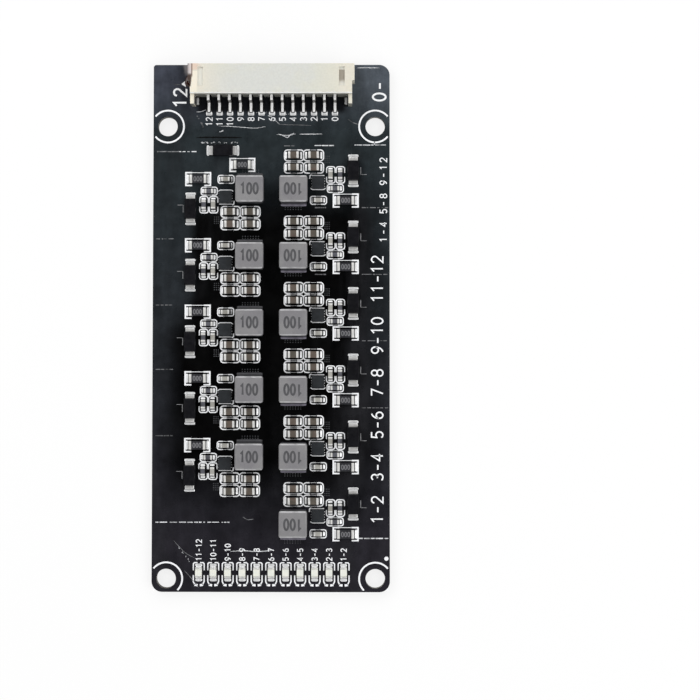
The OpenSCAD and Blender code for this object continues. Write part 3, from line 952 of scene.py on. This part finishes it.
# Texts, foot line, start, height, stroke, gap and advance, the lengths in millimetres.
for texts, foot_x, y, height, line, gap, advance in (
        (PAIRS, 21.2, -37, 2.15, 0.27, 3.0, ADVANCE),
        (GROUPS, 21.95, 16.2, 1.3, 0.19, 2.4, 1.12)):
    y *= MM
    for text in texts:
        write(silk, text, foot_x * MM, y, height * MM, line * MM, TOP, 90, advance=advance)
        y += text_length(text, height * MM) + gap * MM
silk.disc(21.85 * MM, -43.7 * MM, 0.4 * MM, TOP, PRINT_RISE)
finish_mesh("white_print", silk.mesh("white_print"), MATS["white"])
finish_mesh("worn_print", worn.mesh("worn_print"), MATS["worn"])

# Value marks on the inductors and the links; the right column's stand upside down.
marks = Builder()
MARK = 1.95 * MM
MARK_SQUEEZE = 0.72
MARK_SINK = 0.004 * MM                  # a mark starts this far inside its part
MARK_RISE = 0.012 * MM
for box in COILS:
    c = middle(box)
    turn = 180 if c.x > 0 else 0
    half = text_length("100", MARK, MARK_SQUEEZE) / 2
    s = -1 if turn else 1
    write(marks, "100", c.x - s * half, c.y - s * MARK / 2, MARK, 0.4 * MM,
          box[1].z - MARK_SINK, turn, MARK_RISE, MARK_SQUEEZE)
finish_mesh("inductor_marks", marks.mesh("inductor_marks"), MATS["grey"])

zeros = Builder()
for box in LINKS:
    c = middle(box)
    size = 0.85 * MM
    half = text_length("000", size, 0.8) / 2
    write(zeros, "000", c.x - half, c.y - size / 2, size, 0.15 * MM, box[1].z - MARK_SINK, 0,
          MARK_RISE, 0.8)
finish_mesh("link_marks", zeros.mesh("link_marks"), MATS["pale"])


# ---- What shows through the board's coat --------------------------------------

chance = random.Random(12)


def dashes(out, x0, x1, y, line, fill):
    """A straight broken line of coat caught on the edge of the copper below."""
    x = x0 * MM
    while x < x1 * MM:
        step = chance.uniform(0.25, 1.5) * MM
        end = min(x + step, x1 * MM)
        if end - x > 0.1 * MM:
            out.strip([(x, y * MM), (end, y * MM + chance.uniform(-0.02, 0.02) * MM)],
                      line * chance.uniform(0.7, 1.2), TOP, 0.012 * MM)
        x = end + chance.uniform(0.08, 0.5) * MM * (1.6 - fill)


def wrinkle(out, points, line):
    """A half-round bead in the coat along a crooked line, points in millimetres."""
    knots = [points[0]] + list(points) + [points[-1]]
    path = []
    for k in range(1, len(knots) - 2):
        p0, p1, p2, p3 = (Vector(p) for p in knots[k - 1:k + 3])
        parts = max(3, int((p2 - p1).length / 0.16))
        for j in range(parts):
            t = j / parts
            curve = (p1 * 2 + (p2 - p0) * t + (p0 * 2 - p1 * 5 + p2 * 4 - p3) * t * t
                     + (p1 * 3 - p0 - p2 * 3 + p3) * t ** 3) / 2
            path.append(curve + Vector((chance.uniform(-1, 1), chance.uniform(-1, 1))) * 0.025)
    path.append(Vector(points[-1]))
    verts = []
    n = len(path)
    for k, p in enumerate(path):
        along = (path[min(k + 1, n - 1)] - path[max(k - 1, 0)]).normalized()
        across = Vector((-along.y, along.x))
        taper = min(1.0, 0.25 + 4.0 * min(k, n - 1 - k) / n)
        half = line / 2 * taper * chance.uniform(0.65, 1.2)
        for angle in (180, 130, 90, 50, 0):
            q = p * MM + across * half * math.cos(math.radians(angle))
            lift = 0.03 * MM * math.sin(math.radians(angle)) * taper
            verts.append((q.x, q.y, TOP + lift))
    faces = [tuple(range(4, -1, -1)), tuple(5 * (n - 1) + i for i in range(5))]
    for k in range(n - 1):
        for i in range(5):
            j = (i + 1) % 5
            faces.append((5 * k + i, 5 * k + j, 5 * k + 5 + j, 5 * k + 5 + i))
    out.add(verts, faces)


def specks(out, x0, x1, y0, y1, count, size):
    """Crumbs of coat scattered along a line."""
    for _ in range(count):
        t = chance.random()
        x = (x0 + (x1 - x0) * t) * MM + chance.uniform(-0.12, 0.12) * MM
        y = (y0 + (y1 - y0) * t) * MM + chance.uniform(-0.12, 0.12) * MM
        out.disc(x, y, chance.uniform(0.5, 1) * size, TOP, 0.015 * MM, 8)


# bright and faint hold lines coloured as painted highlights on the coat.
bright = Builder()
faint = Builder()
holes = Builder()
dark = Builder()
RIGHT_EDGES = (22.7, 10.0, -2.6, -15.3)
LEFT_EDGES = (16.75, 4.15, -8.05, -20.6)
# Ends, height up the board, width and fill of each dashed line.
for out, x0, x1, y, line, fill in (
        *((faint, 17.2, 22.2, y, 0.16, 0.8) for y in RIGHT_EDGES),
        *((faint, -21.9, -18.6, y, 0.16, 0.8) for y in LEFT_EDGES),
        (faint, -21.8, -17.6, 33.4, 0.2, 1.2),
        (bright, -17.6, -14.3, 33.4, 0.16, 0.6),
        (bright, 15.8, 21.8, 34.65, 0.2, 1.0),
        (bright, 8.2, 11.9, 34.55, 0.2, 1.2),
        (faint, 2.4, 4.6, 34.5, 0.16, 0.8),
        (bright, -21.8, -7.8, -36.9, 0.18, 0.5),
        (bright, 15.9, 22.2, -39.9, 0.2, 0.8),
        *((faint, 8.3, 10.4, y, 0.2, 1.2) for y in RIGHT_EDGES[:2])):
    dashes(out, x0, x1, y, line * MM, fill)
bright.strip([(19.62 * MM, 34.7 * MM), (19.62 * MM, 35.3 * MM)], 0.18 * MM, TOP, 0.02 * MM)

# Wrinkles and scars in the coat round the contacts' and the LEDs' numbers.
for out, line, points in (
        (bright, 0.16, [(1.0, 36.7), (1.9, 36.6), (3.0, 36.1), (3.7, 36.7), (4.6, 36.75)]),
        (bright, 0.11, [(2.1, 36.6), (2.9, 36.5), (3.9, 36.6), (4.3, 37.1)]),
        (bright, 0.17, [(5.4, 36.75), (6.6, 36.72), (8.0, 36.74), (9.7, 36.75)]),
        (bright, 0.14, [(-10.1, 38.3), (-7.6, 38.2), (-5.0, 38.0), (-2.9, 37.9), (-1.1, 38.2)]),
        (bright, 0.13, [(-0.8, 40.4), (0.2, 39.9), (0.9, 39.2), (1.6, 38.6)]),
        (faint, 0.12, [(1.6, 38.6), (4.5, 38.5), (7.6, 38.4)]),
        (bright, 0.24, [(-10.0, 37.2), (-9.5, 37.3), (-9.2, 37.5)]),
        (bright, 0.12, [(-14.4, 41.0), (-13.5, 41.05), (-12.4, 41.4), (-11.8, 40.9)]),
        (bright, 0.16, [(-7.6, -42.4), (-5.4, -42.25), (-2.4, -42.4), (0.1, -42.2)]),
        (faint, 0.12, [(-5.3, -35.9), (-4.4, -36.4), (-3.2, -36.3)]),
        (faint, 0.12, [(-18.6, 46.2), (-17.4, 46.2)]),
        (faint, 0.14, [(14.6, 39.6), (15.6, 38.9), (16.7, 38.6)]),
        (bright, 0.13, [(16.3, 49.42), (18.4, 49.44), (20.6, 49.42)]),
        (faint, 0.12, [(-18.4, -40.3), (-16.2, -42.6), (-14.4, -43.6)]),
        (faint, 0.13, [(-16.3, -46.0), (-15.0, -47.4), (-13.6, -49.2)]),
        (bright, 0.1, [(-8.2, -41.8), (-7.8, -41.1)]),
        (dark, 0.3, [(-14.4, 36.1), (-11.2, 36.13), (-5.6, 36.08)])):
    wrinkle(out, points, line * MM)
specks(bright, -14.0, -6.2, 35.1, 35.15, 34, 0.11 * MM)
specks(faint, -14.2, -13.0, 40.4, 38.0, 9, 0.14 * MM)
specks(bright, -17.4, -15.4, -41.6, -44.2, 12, 0.09 * MM)
specks(faint, 18.9, 19.4, -32.6, -33.4, 4, 0.1 * MM)
specks(bright, -3.4, 9.6, 41.0, 40.2, 16, 0.08 * MM)

# Via fields beside each channel's capacitors and below its inductor.
VIA_RADIUS = 0.11 * MM
VIA_RISE = 0.008 * MM
# Each has a start, step and count along X, then along Y, from its inductor's middle.
VIA_FIELDS = ((5.95, 0.4, 3, 5.2, 0.4, 4), (-1.6, 0.5, 7, -3.35, -0.4, 2))
for coil in COILS:
    c = middle(coil)
    side = 1 if c.x > 0 else -1
    for x0, dx, columns, y0, dy, rows in VIA_FIELDS:
        for i in range(columns):
            for j in range(rows):
                holes.disc(c.x + side * (x0 + dx * i) * MM, c.y + side * (y0 + dy * j) * MM,
                           VIA_RADIUS, TOP, VIA_RISE, 10)

for name, out, look in (("coat_edges", bright, "glint"), ("copper_edges", faint, "step"),
                        ("via_rings", holes, "via"), ("coat_groove", dark, "groove")):
    finish_mesh(name, out.mesh(name), MATS[look])


def flux_blob():
    """A low uneven pool of burnt flux against the header's left end."""
    out = Builder()
    rings = 7
    sides = 28
    rng = random.Random(4)
    wave = [rng.uniform(0.78, 1.12) for _ in range(sides)]
    cx, cy, rx, ry = -16.0 * MM, 46.85 * MM, 0.6 * MM, 1.05 * MM
    verts = [(cx, cy, TOP + 0.3 * MM)]
    for r in range(1, rings + 1):
        t = r / rings
        for k in range(sides):
            a = 2 * math.pi * k / sides
            w = wave[k] * 0.5 + (wave[k - 1] + wave[(k + 1) % sides]) * 0.25
            h = 0.3 * MM * math.sqrt(max(0.0, 1 - t * t))
            verts.append((cx + rx * t * w * math.cos(a), cy + ry * t * w * math.sin(a), TOP + h))
    faces = [(0, 1 + k, 1 + (k + 1) % sides) for k in range(sides)]
    for r in range(rings - 1):
        a = 1 + r * sides
        b = a + sides
        for k in range(sides):
            m = (k + 1) % sides
            faces.append((a + k, b + k, b + m, a + m))
    last = 1 + (rings - 1) * sides
    faces.append(tuple(last + k for k in range(sides - 1, -1, -1)))
    out.add(verts, faces)
    finish_mesh("flux_residue", out.mesh("flux_residue"), MATS["flux"], 60)


flux_blob()


# ---- Floor, light and camera -----------------------------------------------

def stage_floor():
    """A plain white floor that keeps a soft shadow."""
    bm = bmesh.new()
    bmesh.ops.create_grid(bm, x_segments=1, y_segments=1, size=3)
    mesh = bpy.data.meshes.new("floor")
    bm.to_mesh(mesh)
    bm.free()
    floor = bpy.data.objects.new("floor", mesh)
    SCENE.collection.objects.link(floor)
    floor.location.z = -0.00002
    mat = bpy.data.materials.new("floor")
    mat.use_nodes = True
    tree = mat.node_tree
    tree.nodes.clear()
    out = tree.nodes.new("ShaderNodeOutputMaterial")
    diffuse = tree.nodes.new("ShaderNodeBsdfDiffuse")
    diffuse.inputs["Color"].default_value = (0.92, 0.92, 0.92, 1)
    glow = tree.nodes.new("ShaderNodeEmission")
    mixer = tree.nodes.new("ShaderNodeMixShader")
    path = tree.nodes.new("ShaderNodeLightPath")
    share = tree.nodes.new("ShaderNodeMath")
    share.operation = "MULTIPLY"
    share.inputs[1].default_value = 0.8
    tree.links.new(path.outputs["Is Camera Ray"], share.inputs[0])
    tree.links.new(share.outputs[0], mixer.inputs[0])
    tree.links.new(diffuse.outputs[0], mixer.inputs[1])
    tree.links.new(glow.outputs[0], mixer.inputs[2])
    tree.links.new(mixer.outputs[0], out.inputs[0])
    mesh.materials.append(mat)


def area_light(name, at, size, power):
    data = bpy.data.lights.new(name, "AREA")
    data.shape = "RECTANGLE"
    data.size = size[0]
    data.size_y = size[1]
    data.energy = power
    lamp = bpy.data.objects.new(name, data)
    SCENE.collection.objects.link(lamp)
    lamp.location = at
    lamp.rotation_euler = (Vector((0, 0, 0)) - Vector(at)).to_track_quat("-Z", "Y").to_euler()


def world_light():
    """A light tent: bright panels all round, half-way up, with a dark top and horizon."""
    world = bpy.data.worlds.new("studio")
    SCENE.world = world
    world.use_nodes = True
    tree = world.node_tree
    back = tree.nodes["Background"]
    coords = tree.nodes.new("ShaderNodeTexCoord")
    split = tree.nodes.new("ShaderNodeSeparateXYZ")
    ramp = tree.nodes.new("ShaderNodeValToRGB")
    elements = ramp.color_ramp.elements
    elements[0].position = 0.1
    elements[0].color = (0.12, 0.12, 0.12, 1)
    elements[1].position = 0.97
    elements[1].color = (0.02, 0.02, 0.02, 1)
    for position, level in ((0.35, 1.0), (0.82, 1.0), (0.92, 0.12)):
        element = elements.new(position)
        element.color = (level, level, level, 1)
    tree.links.new(coords.outputs["Generated"], split.inputs[0])
    tree.links.new(split.outputs[2], ramp.inputs[0])
    tree.links.new(ramp.outputs["Color"], back.inputs["Color"])
    back.inputs["Strength"].default_value = 1.0


def aim_camera():
    """Above the board's right half, leaning a little, as the photograph's parallax shows."""
    distance = 320 * MM
    width = 132.8 * MM                  # what the picture spans at the board
    over_x = 15.16 * MM
    over_y = -4.23 * MM
    lean = (2.116, 0.479, 0.035)
    data = bpy.data.cameras.new("camera")
    data.sensor_width = 36
    data.lens = data.sensor_width * distance / width
    data.shift_x = 0.0187
    data.shift_y = -0.09
    data.clip_start = 0.01
    camera = bpy.data.objects.new("camera", data)
    SCENE.collection.objects.link(camera)
    camera.location = (over_x, over_y, TOP + distance)
    camera.rotation_euler = [math.radians(angle) for angle in lean]
    SCENE.camera = camera


stage_floor()
world_light()
area_light("key", (-0.35, 0.30, 0.42), (0.35, 0.35), 0.9)
area_light("fill", (0.38, -0.18, 0.40), (0.35, 0.35), 0.8)
area_light("back", (0.05, 0.50, 0.30), (0.5, 0.2), 0.5)
aim_camera()
SCENE.view_settings.view_transform = "Standard"
